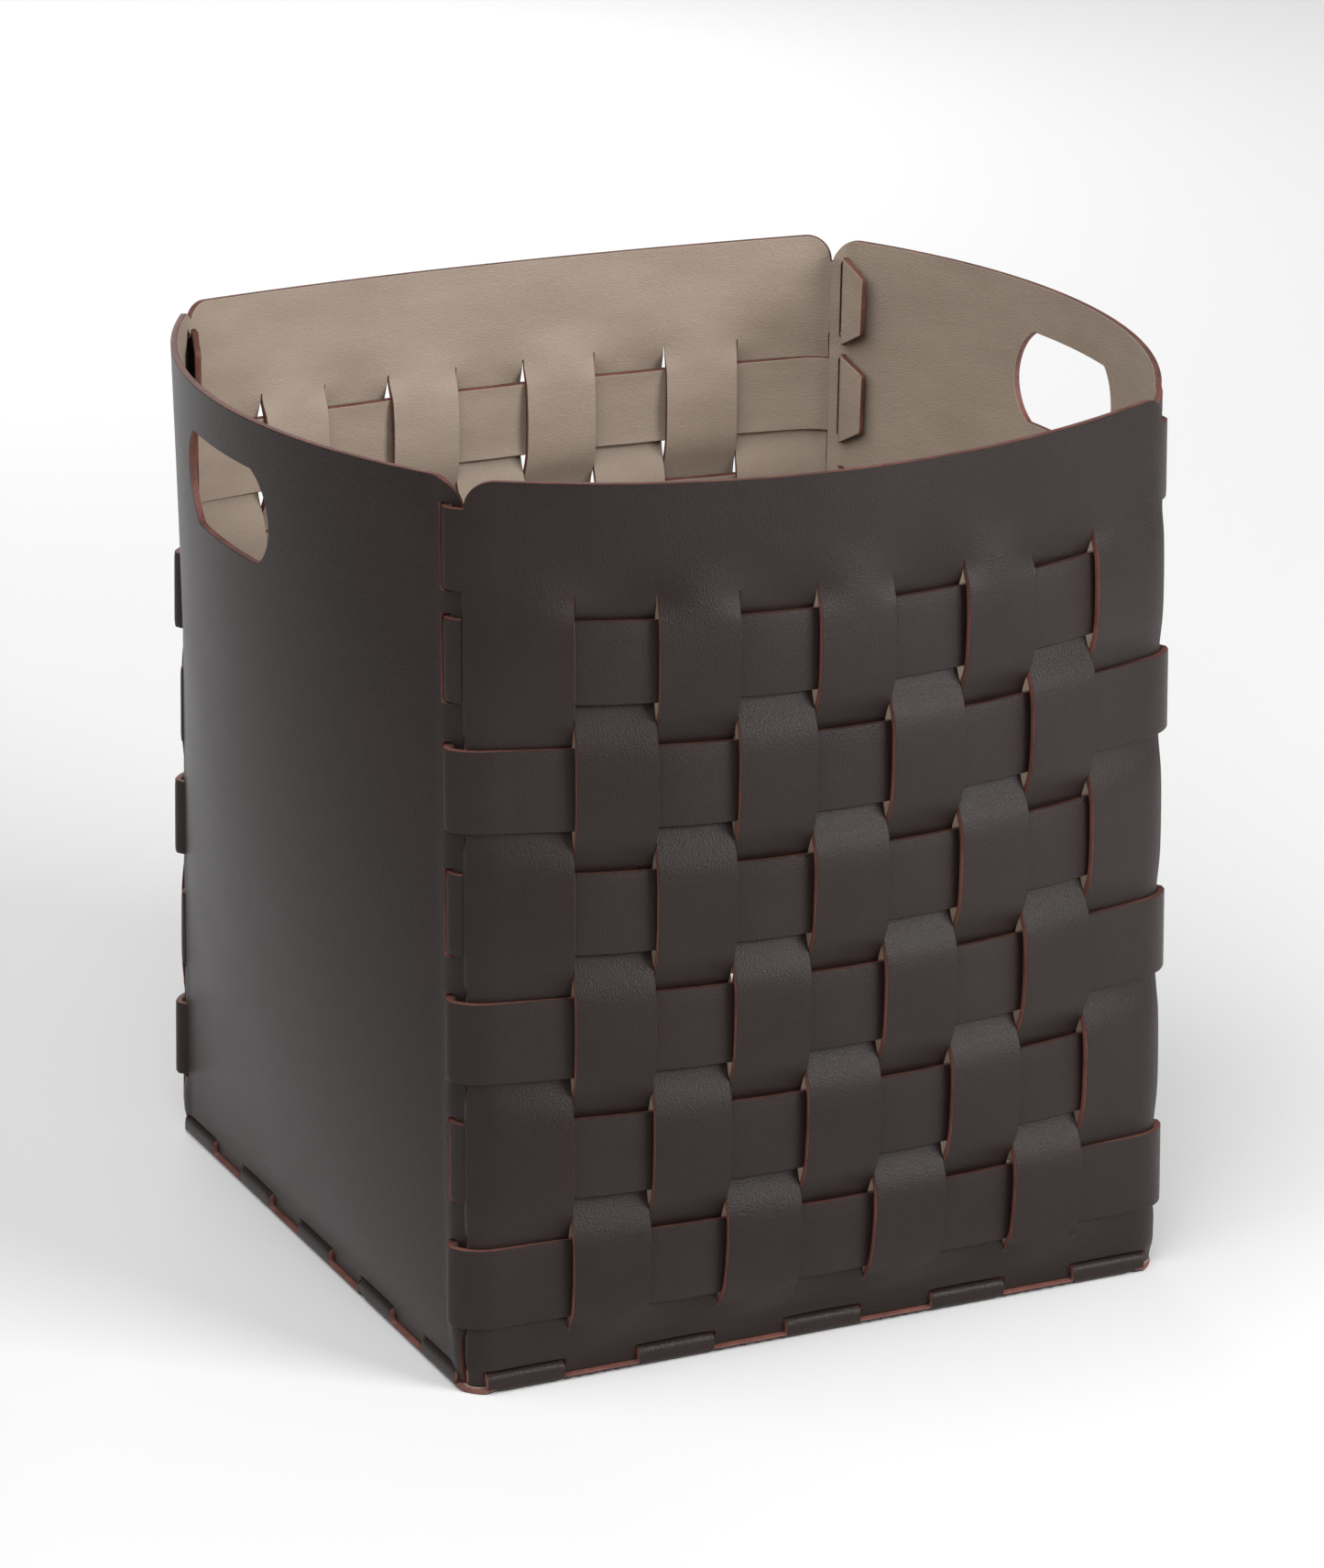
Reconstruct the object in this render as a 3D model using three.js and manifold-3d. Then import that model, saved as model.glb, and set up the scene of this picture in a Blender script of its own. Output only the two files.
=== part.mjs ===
// Woven leather storage bin, built flat-pack style from cut leather sheets that lock into each other.
// Millimetres, +Z up, origin at the middle of the base's underside.
// The two woven panels face -Y and +Y, the two plain panels with handle holes face -X and +X.

import * as THREE from "three";
import { mergeVertices } from "three/addons/utils/BufferGeometryUtils.js";
import Module from "manifold-3d";

const wasm = await Module();
wasm.setup();

// Overall shape: lengths along the wall at the level where the straps run, the same at every height.
const HEIGHT = 400;
const FRONT_HALF = 155; // middle of a woven side to the start of the rounded corner
const SIDE_HALF = 154; // middle of a plain side to the start of the rounded corner
const CORNER_ARC = 24;
const FRONT_BEND = 0.36; // half-angle that a woven side is bent through at the rim, radians
const SIDE_BEND = 0.56;
const FRONT_BEND_POWER = 0.45; // how quickly the bend grows above the foot
const SIDE_BEND_POWER = 0.58;
const FOOT_HEIGHT = 14; // up to here the walls stand on a straight-sided plan
const RIM_DIP = 5; // how far the middle of a woven side's rim sits below its ends

// Leather and its fits
const LEATHER = 3;
const CLEARANCE = 0.4; // between two leather faces that lie on each other
const PANEL_GAP = 1; // between the edges of neighbouring panels at the corner

// Woven panels
const EDGE_STRIP = 44.8; // width of the strip at each end of a woven panel
const INNER_STRIPS = 7;
const SLIT_WIDTH = 0.8;
const SLIT_OVERRUN_TOP = 11; // length of the slits above the first strap
const SLIT_OVERRUN_BOTTOM = 6.5;
const WOVEN_CORNER_RADIUS = 12;

// Straps
const STRAP_COUNT = 6;
const STRAP_WIDTH = 35.6;
const TOP_BAND = 59.1; // rim to the first strap
const BOTTOM_BAND = 30.8; // floor to the last strap

// Top tab of the woven panels, and the arrow heads that end every strap and tab
const TOP_TAB_WIDTH = 34.6;
const HEAD_FLARE = 4; // how far the head's shoulders stand out past the strap on each side
const HEAD_TAPER = 3.8; // how far the head's tip is narrower than the strap on each side
const HEAD_LENGTH = 13;
const SHOULDER_SET = 0.8; // from the slot's far edge to the shoulders
const HEAD_STANDOFF = 0.8; // how far a strap's head stands off the panel it locks behind

// Plain side panels
const SLOT_CLEARANCE = 0.5; // beside the leather that passes through a slot
const SLOT_END_CLEARANCE = 1.45;
const SLOT_MARGIN = 9; // panel edge to the middle of its strap slots
const SIDE_CORNER_RADIUS = 16;
const HANDLE_WIDTH = 91;
const HANDLE_HEIGHT = 42;
const HANDLE_STRAIGHT = 66; // length of the handle hole's straight upper and lower edges
const HANDLE_BELOW_RIM = 22;

// Base sheet with its locking tabs
const BASE_CORNER_RADIUS = 14;
const BASE_TAB_COUNT = 5; // along each side
const BASE_TAB_WIDTH = 34;
const BASE_TAB_INSET = 16; // start of the rounded corner to the middle of the last tab
const BASE_TAB_LEVEL = 10; // height at which the tabs pass through the wall
const BASE_TAB_CLEARANCE = 0.9; // between a tab and the wall it clasps
const BASE_HEAD_FLARE = 2.5;
const BASE_HEAD_TAPER = 5;

// Places worked out from the sizes above
const QUARTER = FRONT_HALF + CORNER_ARC + SIDE_HALF;
const HALF_LEATHER = LEATHER / 2;
const LAP = LEATHER + CLEARANCE; // distance between the middles of two sheets that lie on each other
const WALL_FOOT = LEATHER + CLEARANCE;
const WOVEN_HALF = FRONT_HALF + CORNER_ARC / 2;
const SIDE_EDGE = WOVEN_HALF + PANEL_GAP;
const SLOT_MIDDLE = SIDE_EDGE + SLOT_MARGIN;
const SLOT_HALF_WIDTH = HALF_LEATHER + SLOT_CLEARANCE;
const CORNER_STEP = CORNER_ARC / 6;
const STRIP_PITCH = (2 * WOVEN_HALF - 2 * EDGE_STRIP) / INNER_STRIPS;
const STRAP_PITCH = (HEIGHT - TOP_BAND - BOTTOM_BAND - STRAP_WIDTH) / (STRAP_COUNT - 1);
const TOP_TAB_MIDDLE = HEIGHT - WOVEN_CORNER_RADIUS - TOP_TAB_WIDTH / 2;
const FOOT_CORNER_RADIUS = CORNER_ARC / (Math.PI / 2);
const FOOT_HALF_X = FRONT_HALF + FOOT_CORNER_RADIUS - LAP; // middle of a plain panel at its foot
const FOOT_HALF_Y = SIDE_HALF + FOOT_CORNER_RADIUS; // middle of a woven panel at its foot

const strapMiddle = (number) =>
  HEIGHT - TOP_BAND - STRAP_WIDTH / 2 - (number - 1) * STRAP_PITCH;

// The wall as a bent sheet: `along` runs from the middle of the -Y side, positive towards +X, round the
// corner and on to the +Y side; `out` is the distance outwards from the level of the straps.
function wallPoint(along, z, out) {
  const rise = Math.max(0, (z - FOOT_HEIGHT) / (HEIGHT - FOOT_HEIGHT));
  const nearlyStraight = 1e-4;
  const front = nearlyStraight + FRONT_BEND * rise ** FRONT_BEND_POWER;
  const side = nearlyStraight + SIDE_BEND * rise ** SIDE_BEND_POWER;
  const corner = Math.PI / 2 - front - side;
  const frontRadius = FRONT_HALF / front;
  const cornerRadius = CORNER_ARC / corner;
  const sideRadius = SIDE_HALF / side;
  const cornerX = frontRadius * Math.sin(front);
  const cornerY = frontRadius * (1 - Math.cos(front));
  const sideX = cornerX + cornerRadius * (Math.cos(side) - Math.sin(front));
  const sideY = cornerY + cornerRadius * (Math.cos(front) - Math.sin(side));
  const halfDepth = sideY + sideRadius * Math.sin(side);

  const pastMiddle = Math.abs(along) > QUARTER;
  const s = pastMiddle ? 2 * QUARTER - Math.abs(along) : Math.abs(along);
  let heading, x, y;
  if (s <= FRONT_HALF) {
    heading = s / frontRadius;
    x = frontRadius * Math.sin(heading);
    y = frontRadius * (1 - Math.cos(heading));
  } else if (s <= FRONT_HALF + CORNER_ARC) {
    heading = front + (s - FRONT_HALF) / cornerRadius;
    x = cornerX + cornerRadius * (Math.sin(heading) - Math.sin(front));
    y = cornerY + cornerRadius * (Math.cos(front) - Math.cos(heading));
  } else {
    heading = Math.PI / 2 - side + (s - FRONT_HALF - CORNER_ARC) / sideRadius;
    x = sideX + sideRadius * (Math.sin(heading) - Math.cos(side));
    y = sideY + sideRadius * (Math.sin(side) - Math.cos(heading));
  }
  const dip = RIM_DIP * rise * Math.max(0, 1 - (s / FRONT_HALF) ** 2);
  return new THREE.Vector3(
    Math.sign(along || 1) * (x + out * Math.sin(heading)),
    (pastMiddle ? -1 : 1) * (y - halfDepth - out * Math.cos(heading)),
    z - dip,
  );
}

// A closed sheet made of grid cells between two skins, with side walls wherever a cell has no neighbour.
// `at(i, j, skin)` gives a corner's place on the outer (skin 1) or inner (skin -1) face.
function sheet(columns, rows, filled, at) {
  const positions = [];
  const index = [];
  for (let i = 0; i <= columns; i++)
    for (let j = 0; j <= rows; j++)
      for (const skin of [1, -1]) positions.push(...at(i, j, skin).toArray());
  const corner = (i, j, skin) => 2 * (i * (rows + 1) + j) + (skin > 0 ? 0 : 1);
  const quad = (a, b, c, d) => index.push(a, b, c, a, c, d);
  const isFilled = (i, j) => i >= 0 && j >= 0 && i < columns && j < rows && filled(i, j);
  for (let i = 0; i < columns; i++)
    for (let j = 0; j < rows; j++) {
      if (!isFilled(i, j)) continue;
      const [a, b, c, d] = [[i, j], [i + 1, j], [i + 1, j + 1], [i, j + 1]];
      const edge = (p, q) => quad(corner(...p, 1), corner(...p, -1), corner(...q, -1), corner(...q, 1));
      quad(corner(...a, 1), corner(...b, 1), corner(...c, 1), corner(...d, 1));
      quad(corner(...a, -1), corner(...d, -1), corner(...c, -1), corner(...b, -1));
      if (!isFilled(i, j - 1)) edge(a, b);
      if (!isFilled(i + 1, j)) edge(b, c);
      if (!isFilled(i, j + 1)) edge(c, d);
      if (!isFilled(i - 1, j)) edge(d, a);
    }
  const geometry = new THREE.BufferGeometry();
  geometry.setAttribute("position", new THREE.Float32BufferAttribute(positions, 3));
  geometry.setIndex(index);
  return geometry;
}

// A point beside a path of stations, at a distance across it and mitred at its bends.
function beside(stations, i, distance) {
  const last = stations.length - 1;
  const arriving = normalOf(stations[Math.max(i, 1) - 1], stations[Math.max(i, 1)]);
  const leaving = normalOf(stations[Math.min(i, last - 1)], stations[Math.min(i, last - 1) + 1]);
  const mitre = arriving.clone().add(leaving).divideScalar(1 + arriving.dot(leaving));
  return mitre.multiplyScalar(distance).add(stations[i].place);
}

function normalOf(from, to) {
  const step = to.place.clone().sub(from.place).normalize();
  return new THREE.Vector2(-step.y, step.x);
}

const station = (along, out, half, extra) => ({ place: new THREE.Vector2(along, out), half, ...extra });

// The end of a strap or tab at the +X end: over the side panel's margin, through its slot, and the head
// that lies on the panel's inner face and points away from the corner.
function hook(half) {
  const head = -2 * LAP - HEAD_STANDOFF;
  return [
    station(SLOT_MIDDLE, 0, half),
    station(SLOT_MIDDLE, head, half),
    station(SLOT_MIDDLE + SLOT_HALF_WIDTH + SHOULDER_SET, head, half + HEAD_FLARE),
    station(SLOT_MIDDLE + HEAD_LENGTH, head, half - HEAD_TAPER),
  ];
}

const mirrored = (stations) =>
  stations.map((s) => ({ ...s, place: new THREE.Vector2(-s.place.x, s.place.y) })).reverse();

// The lines that follow the rounded corner from its start to the panels' meeting edges, then the neck.
const cornerLines = [0, 1, 2, 3].map((step) => FRONT_HALF + step * CORNER_STEP);
const neckLine = WOVEN_HALF + CORNER_STEP;
const slits = Array.from({ length: INNER_STRIPS + 1 }, (_, k) => (k - INNER_STRIPS / 2) * STRIP_PITCH);

// Manifold solids for cutting and joining
function solid(geometry) {
  const plain = geometry.index ? geometry.toNonIndexed() : geometry.clone();
  for (const name of ["normal", "uv"]) plain.deleteAttribute(name);
  const merged = mergeVertices(plain, 1e-4);
  return new wasm.Manifold(
    new wasm.Mesh({
      numProp: 3,
      vertProperties: merged.attributes.position.array,
      triVerts: new Uint32Array(merged.index.array),
    }),
  );
}

function geometryOf(made) {
  const mesh = made.getMesh();
  const geometry = new THREE.BufferGeometry();
  geometry.setAttribute("position", new THREE.BufferAttribute(mesh.vertProperties, 3));
  geometry.setIndex(new THREE.BufferAttribute(mesh.triVerts, 1));
  return geometry;
}

const cut = (geometry, cutters) =>
  geometryOf(cutters.reduce((made, cutter) => made.subtract(solid(cutter)), solid(geometry)));

// What a rounded upper corner takes away, standing across the wall at its edge.
function cornerCutter(edge, inwards, radius, out) {
  const spare = 4;
  const shape = new THREE.Shape();
  shape.moveTo(-spare, -radius);
  shape.lineTo(0, -radius);
  shape.absarc(radius, -radius, radius, Math.PI, Math.PI / 2, true);
  shape.lineTo(radius, spare);
  shape.lineTo(-spare, spare);
  const depth = 6 * LEATHER;
  const geometry = new THREE.ExtrudeGeometry(shape, { depth, bevelEnabled: false, curveSegments: 6 });
  geometry.translate(0, 0, -depth / 2);
  const corner = wallPoint(edge, HEIGHT, out);
  const across = wallPoint(edge + inwards * radius, HEIGHT, out).sub(corner).setZ(0).normalize();
  const up = new THREE.Vector3(0, 0, 1);
  const frame = new THREE.Matrix4().makeBasis(across, up, across.clone().cross(up));
  return geometry.applyMatrix4(frame.setPosition(corner));
}

// Places of the base's tabs along a side, from the side's middle.
function tabPlaces(half) {
  const last = half - BASE_TAB_INSET;
  return Array.from({ length: BASE_TAB_COUNT }, (_, k) => last * ((2 * k) / (BASE_TAB_COUNT - 1) - 1));
}

const baseSlotSize = [BASE_TAB_WIDTH + 2 * SLOT_END_CLEARANCE, LEATHER + 2 * SLOT_CLEARANCE];

// A woven panel: slit into strips that pass in front of and behind the straps, with a tab at each end
// of its top band.
function wovenPanel() {
  const insideLines = [
    ...cornerLines.map((line) => -line).reverse(),
    ...slits.flatMap((slit) => [slit - SLIT_WIDTH / 2, slit + SLIT_WIDTH / 2]),
    ...cornerLines,
  ];
  const tabEnd = [station(neckLine, 0, TOP_TAB_WIDTH / 2), ...hook(TOP_TAB_WIDTH / 2)];
  const inside = insideLines.map((line) =>
    station(line, 0, 0, { strip: slits.filter((slit) => slit < line).length }),
  );
  const stations = [...mirrored(tabEnd), ...inside, ...tabEnd];

  const levels = [{ z: WALL_FOOT }, { z: FOOT_HEIGHT }];
  const firstSlitRow = levels.length;
  levels.push({ z: strapMiddle(STRAP_COUNT) - STRAP_WIDTH / 2 - SLIT_OVERRUN_BOTTOM });
  for (let strap = STRAP_COUNT; strap >= 1; strap--)
    for (const end of [-1, 1]) levels.push({ z: strapMiddle(strap) + (end * STRAP_WIDTH) / 2, strap });
  levels.push({ z: strapMiddle(1) + STRAP_WIDTH / 2 + SLIT_OVERRUN_TOP });
  const lastSlitRow = levels.length - 2;
  const tabRow = levels.length;
  for (const end of [-1, 1]) levels.push({ z: TOP_TAB_MIDDLE + (end * TOP_TAB_WIDTH) / 2, tabEnd: end });
  levels.push({ z: HEIGHT });

  const weave = ({ strip }, { strap }) =>
    strip === undefined || !strap ? 0 : (strip + strap) % 2 ? LAP : -LAP;
  const filled = (i, j) => {
    const from = stations[i];
    const to = stations[i + 1];
    if (from.strip === undefined || to.strip === undefined) return j === tabRow;
    return from.strip === to.strip || j < firstSlitRow || j > lastSlitRow;
  };
  const at = (i, j, skin) => {
    const place = beside(stations, i, skin * HALF_LEATHER);
    const level = levels[j];
    const isTab = stations[i].strip === undefined && level.tabEnd;
    const z = isTab ? TOP_TAB_MIDDLE + level.tabEnd * stations[i].half : level.z;
    return wallPoint(place.x, z, place.y + weave(stations[i], level));
  };
  const cutters = [
    cornerCutter(WOVEN_HALF, -1, WOVEN_CORNER_RADIUS, 0),
    cornerCutter(-WOVEN_HALF, 1, WOVEN_CORNER_RADIUS, 0),
  ];
  for (const x of tabPlaces(FRONT_HALF))
    cutters.push(
      new THREE.BoxGeometry(baseSlotSize[0], 4 * LEATHER, baseSlotSize[1])
        .translate(x, -FOOT_HALF_Y, BASE_TAB_LEVEL),
    );
  return cut(sheet(stations.length - 1, levels.length - 1, filled, at), cutters);
}

// A strap lies level along the woven panel and locks into the slots of both plain panels.
function strap(number) {
  const end = [
    ...cornerLines.map((line) => station(line, 0, STRAP_WIDTH / 2)),
    station(neckLine, 0, STRAP_WIDTH / 2),
    ...hook(STRAP_WIDTH / 2),
  ];
  const middle = slits.map((slit) => station(slit, 0, STRAP_WIDTH / 2));
  const stations = [...mirrored(end), ...middle, ...end];
  const at = (i, j, skin) => {
    const place = beside(stations, i, skin * HALF_LEATHER);
    return wallPoint(place.x, strapMiddle(number) + (2 * j - 1) * stations[i].half, place.y);
  };
  return sheet(stations.length - 1, 1, () => true, at);
}

// A plain panel with a column of strap slots along each upright edge and a handle hole below its rim.
function sidePanel() {
  const slotEdges = [SLOT_MIDDLE - SLOT_HALF_WIDTH, SLOT_MIDDLE + SLOT_HALF_WIDTH];
  const steps = 9;
  const stretch = QUARTER - slotEdges[1];
  const half = [
    SIDE_EDGE,
    (SIDE_EDGE + slotEdges[0]) / 2,
    ...slotEdges,
    ...Array.from({ length: steps }, (_, k) => slotEdges[1] + ((k + 1) * stretch) / steps),
  ];
  const lines = [...half, ...half.slice(0, -1).map((line) => 2 * QUARTER - line).reverse()];
  const slotColumns = [half.indexOf(slotEdges[0]), lines.length - 2 - half.indexOf(slotEdges[0])];

  const slotHalf = (width) => width / 2 + SLOT_END_CLEARANCE;
  const levels = [WALL_FOOT, FOOT_HEIGHT];
  const firstSlotRow = levels.length;
  for (let number = STRAP_COUNT; number >= 1; number--)
    levels.push(strapMiddle(number) - slotHalf(STRAP_WIDTH), strapMiddle(number) + slotHalf(STRAP_WIDTH));
  levels.push(TOP_TAB_MIDDLE - slotHalf(TOP_TAB_WIDTH), TOP_TAB_MIDDLE + slotHalf(TOP_TAB_WIDTH), HEIGHT);
  const isSlotRow = (j) => j >= firstSlotRow && (j - firstSlotRow) % 2 === 0 && j < levels.length - 2;
  const filled = (i, j) => !(slotColumns.includes(i) && isSlotRow(j));
  const at = (i, j, skin) => wallPoint(lines[i], levels[j], skin * HALF_LEATHER - LAP);

  const cutters = [
    handleCutter(),
    cornerCutter(SIDE_EDGE, 1, SIDE_CORNER_RADIUS, -LAP),
    cornerCutter(2 * QUARTER - SIDE_EDGE, -1, SIDE_CORNER_RADIUS, -LAP),
  ];
  for (const y of tabPlaces(SIDE_HALF))
    cutters.push(
      new THREE.BoxGeometry(4 * LEATHER, baseSlotSize[0], baseSlotSize[1])
        .translate(FOOT_HALF_X, y, BASE_TAB_LEVEL),
    );
  return cut(sheet(lines.length - 1, levels.length - 1, filled, at), cutters);
}

// The handle hole: straight above and below, with a shallow arc at each end.
function handleCutter() {
  const x = HANDLE_STRAIGHT / 2;
  const y = HANDLE_HEIGHT / 2;
  const sag = (HANDLE_WIDTH - HANDLE_STRAIGHT) / 2;
  const radius = (sag * sag + y * y) / (2 * sag);
  const centre = HANDLE_WIDTH / 2 - radius;
  const sweep = Math.atan2(y, x - centre);
  const shape = new THREE.Shape();
  shape.absarc(centre, 0, radius, -sweep, sweep, false);
  shape.absarc(-centre, 0, radius, Math.PI - sweep, Math.PI + sweep, false);
  const depth = 60;
  const geometry = new THREE.ExtrudeGeometry(shape, { depth, bevelEnabled: false, curveSegments: 10 });
  geometry.rotateX(Math.PI / 2);
  geometry.rotateZ(Math.PI / 2);
  const z = HEIGHT - HANDLE_BELOW_RIM - HANDLE_HEIGHT / 2;
  return geometry.translate(wallPoint(QUARTER, z, -LAP).x - depth / 2, 0, z);
}

// The base: a rounded square sheet whose tabs fold up outside the walls, pass in through their slots and
// lie up against their inner faces.
function base() {
  const halfX = FOOT_HALF_X + HALF_LEATHER;
  const halfY = FOOT_HALF_Y + HALF_LEATHER;
  const r = BASE_CORNER_RADIUS;
  const outline = new THREE.Shape();
  outline.absarc(halfX - r, halfY - r, r, 0, Math.PI / 2);
  outline.absarc(r - halfX, halfY - r, r, Math.PI / 2, Math.PI);
  outline.absarc(r - halfX, r - halfY, r, Math.PI, 1.5 * Math.PI);
  outline.absarc(halfX - r, r - halfY, r, 1.5 * Math.PI, 2 * Math.PI);
  const plate = new THREE.ExtrudeGeometry(outline, { depth: LEATHER, bevelEnabled: false, curveSegments: 6 });
  const tabs = [];
  for (const turn of [0, 1, 2, 3]) {
    const onWoven = turn % 2 === 0;
    const wall = onWoven ? FOOT_HALF_Y : FOOT_HALF_X;
    for (const place of tabPlaces(onWoven ? FRONT_HALF : SIDE_HALF))
      tabs.push(baseTab(wall).translate(place, 0, 0).rotateZ((turn * Math.PI) / 2));
  }
  return geometryOf(tabs.reduce((made, tab) => made.add(solid(tab)), solid(plate)));
}

// One tab on the -Y side, following its fold in a plane across the wall.
function baseTab(wall) {
  const outside = wall + HALF_LEATHER + BASE_TAB_CLEARANCE + HALF_LEATHER;
  const inside = wall - HALF_LEATHER - BASE_TAB_CLEARANCE - HALF_LEATHER;
  const root = 4 * LEATHER;
  const half = BASE_TAB_WIDTH / 2;
  const shoulder = BASE_TAB_LEVEL + SLOT_HALF_WIDTH + SHOULDER_SET;
  const stations = [
    station(wall - root, HALF_LEATHER, half),
    station(outside, HALF_LEATHER, half),
    station(outside, BASE_TAB_LEVEL, half),
    station(inside, BASE_TAB_LEVEL, half),
    station(inside, shoulder, half + BASE_HEAD_FLARE),
    station(inside, BASE_TAB_LEVEL + HEAD_LENGTH, half - BASE_HEAD_TAPER),
  ];
  const at = (i, j, skin) => {
    const place = beside(stations, i, skin * HALF_LEATHER);
    return new THREE.Vector3((2 * j - 1) * stations[i].half, -place.x, place.y);
  };
  return sheet(stations.length - 1, 1, () => true, at);
}

const darkLeather = new THREE.MeshStandardMaterial({ color: 0x3a312f, roughness: 0.55, metalness: 0 });
const strapLeather = new THREE.MeshStandardMaterial({ color: 0x3d3432, roughness: 0.55, metalness: 0 });
const baseLeather = new THREE.MeshStandardMaterial({ color: 0x352c2a, roughness: 0.6, metalness: 0 });

const bin = new THREE.Group();
const backHalf = new THREE.Group();
backHalf.rotation.z = Math.PI;
bin.add(backHalf);

function place(group, name, geometry, material) {
  const mesh = new THREE.Mesh(geometry, material);
  mesh.name = name;
  group.add(mesh);
}

place(bin, "base", base(), baseLeather);
const wovenShape = wovenPanel();
place(bin, "woven_panel_front", wovenShape, darkLeather);
place(backHalf, "woven_panel_back", wovenShape, darkLeather);
const sideShape = sidePanel();
place(bin, "side_panel_right", sideShape, darkLeather);
place(backHalf, "side_panel_left", sideShape, darkLeather);
for (let number = 1; number <= STRAP_COUNT; number++) {
  const strapShape = strap(number);
  place(bin, "front_strap_" + number, strapShape, strapLeather);
  place(backHalf, "back_strap_" + number, strapShape, strapLeather);
}

export default bin;
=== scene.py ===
import math

import bpy
import numpy as np
from mathutils import Matrix, Vector
from mathutils.geometry import delaunay_2d_cdt


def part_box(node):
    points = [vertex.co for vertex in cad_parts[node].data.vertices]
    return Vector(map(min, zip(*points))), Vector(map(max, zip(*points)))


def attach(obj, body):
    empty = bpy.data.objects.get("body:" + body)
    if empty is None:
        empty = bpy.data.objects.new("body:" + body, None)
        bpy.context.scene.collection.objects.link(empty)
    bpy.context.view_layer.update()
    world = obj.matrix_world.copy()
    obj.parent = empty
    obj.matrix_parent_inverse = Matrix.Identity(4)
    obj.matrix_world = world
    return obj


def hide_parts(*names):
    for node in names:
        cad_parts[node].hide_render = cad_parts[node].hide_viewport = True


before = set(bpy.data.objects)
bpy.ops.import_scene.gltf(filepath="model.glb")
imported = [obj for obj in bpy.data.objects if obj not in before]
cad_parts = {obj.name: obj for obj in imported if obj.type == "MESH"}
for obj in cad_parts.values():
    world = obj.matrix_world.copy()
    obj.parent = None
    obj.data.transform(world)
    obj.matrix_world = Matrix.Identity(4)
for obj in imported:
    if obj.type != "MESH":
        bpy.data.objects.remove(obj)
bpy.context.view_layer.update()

# Woven leather storage bin. Every sheet is cut flat, with its real outline, slits and slots, and is
# then bent into place, as the real sheets are. Lengths of the leather work are in millimetres and the
# objects in metres. The overall sizes are those of the CAD model. The base's tabs go through the wall a
# little lower than there, and the leather is pressed and pulled where the CAD model keeps clearances.
MM = 0.001


def top_of(node):
    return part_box(node)[1].z / MM


# Wall shape, along the level where the straps run
HEIGHT = top_of("woven_panel_front")
FRONT_HALF = 155
SIDE_HALF = 154
CORNER_ARC = 24
FRONT_BEND = 0.36
SIDE_BEND = 0.56
FRONT_BEND_POWER = 0.45
SIDE_BEND_POWER = 0.58
FOOT_HEIGHT = 14
FOOT_SOFTNESS = 0.02
RIM_DIP = 5

# Leather and fits
LEATHER = 3
HALF = LEATHER / 2
ARRIS = 0.4  # rounding of the cut edges
LAP = 3.4
WALL_FOOT = 3.4
PANEL_GAP = 1

# Weave
EDGE_STRIP = 44.8
INNER_STRIPS = 7
STRAP_COUNT = 6
STRAP_WIDTH = 35.6
HEAD_FLARE = 4
HEAD_TAPER = 3.8
SLIT_OPENING = 0.3
SLIT_OVERRUN_TOP = 11
SLIT_OVERRUN_BOTTOM = 6.5
SLIT_FREE_TOP = 13  # a strip's edges come free of the next strip over this length from the slit's end
SLIT_FREE_BOTTOM = 9
TOP_TAB_WIDTH = 34.6
TOP_TAB_LEAN = 14  # degrees that its head leans off the plain panel
TOP_TAB_NOTCH = 1.2  # radius cut into the corner below the tab
WOVEN_CORNER_RADIUS = 12
BULGE = 4.9  # how far a strip's middle stands off the level of the straps
BULGE_SQUARENESS = 1.75
EDGE_BULGE = 4.3  # the wide edge strips are stiffer, and stiffest at the panel's edge
EDGE_BULGE_LOST = 3.3
EDGE_LIFT = 0.5  # the panel's edge stands out here, so that the straps clear the plain panel
EDGE_STRAP_LIFT = 2.1  # and so do the straps that cross over it
EDGE_STRAP_SINK = 1.0  # while those that cross under it lie deeper
EDGE_STRAP_POWER = 1.3
STRAP_WAVE = 0.6  # how far a strap gives way between two strips
STRAP_CROWN = 0.9  # a strap's long edges curl in by this much
STRAP_TILT = 0.03  # and its top leans in
STRAP_LEANS = (6, 13)  # least and most degrees that a strap's heads lean off the plain panel
TOP_FADE = 48  # from the first strap's middle up to where the band is flat again
TOP_FADE_POWER = 1.5
BOTTOM_FADE = 40
BOTTOM_FADE_POWER = 1.2

# Plain panels
SLOT_MARGIN = 9
SLOT_LENGTH_SPARE = 1.45
SLOT_WIDTH = 5.6
SLOT_SET_OUT = 0.8  # the slots' middles, from where the straps' middles go through towards the edge
SLOT_CORNER_RADIUS = 1.6
SIDE_CORNER_RADIUS = 16
HANDLE_WIDTH = 91
HANDLE_HEIGHT = 42
HANDLE_STRAIGHT = 66
HANDLE_BELOW_RIM = 22

# Base
BASE_CORNER_RADIUS = 14
BASE_TAB_COUNT = 5
BASE_TAB_WIDTH = 36
BASE_TAB_INSET = 13.5
BASE_TAB_LEVEL = 8.4
BASE_TAB_STANDOFF = 2.4  # middle of the wall's leather to the middle of the tab's, on either face
BASE_TAB_BEND = 2.0
BASE_TAB_RISE = 13.5  # of the head inside, above the slot
BASE_TAB_LEAN = 0.8
BASE_SHOULDER = 10.5  # from the head's tip back to its shoulders
BASE_SHOULDER_FLARE = 2.5
BASE_TIP_TAPER = 5
BASE_FLAT_MARGIN = 20  # the base is flat up to this far inside the wall
BASE_SLOT = (BASE_TAB_WIDTH + 2.4, LEATHER + 1.2)
BASE_SLOT_RADIUS = 1.2

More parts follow.
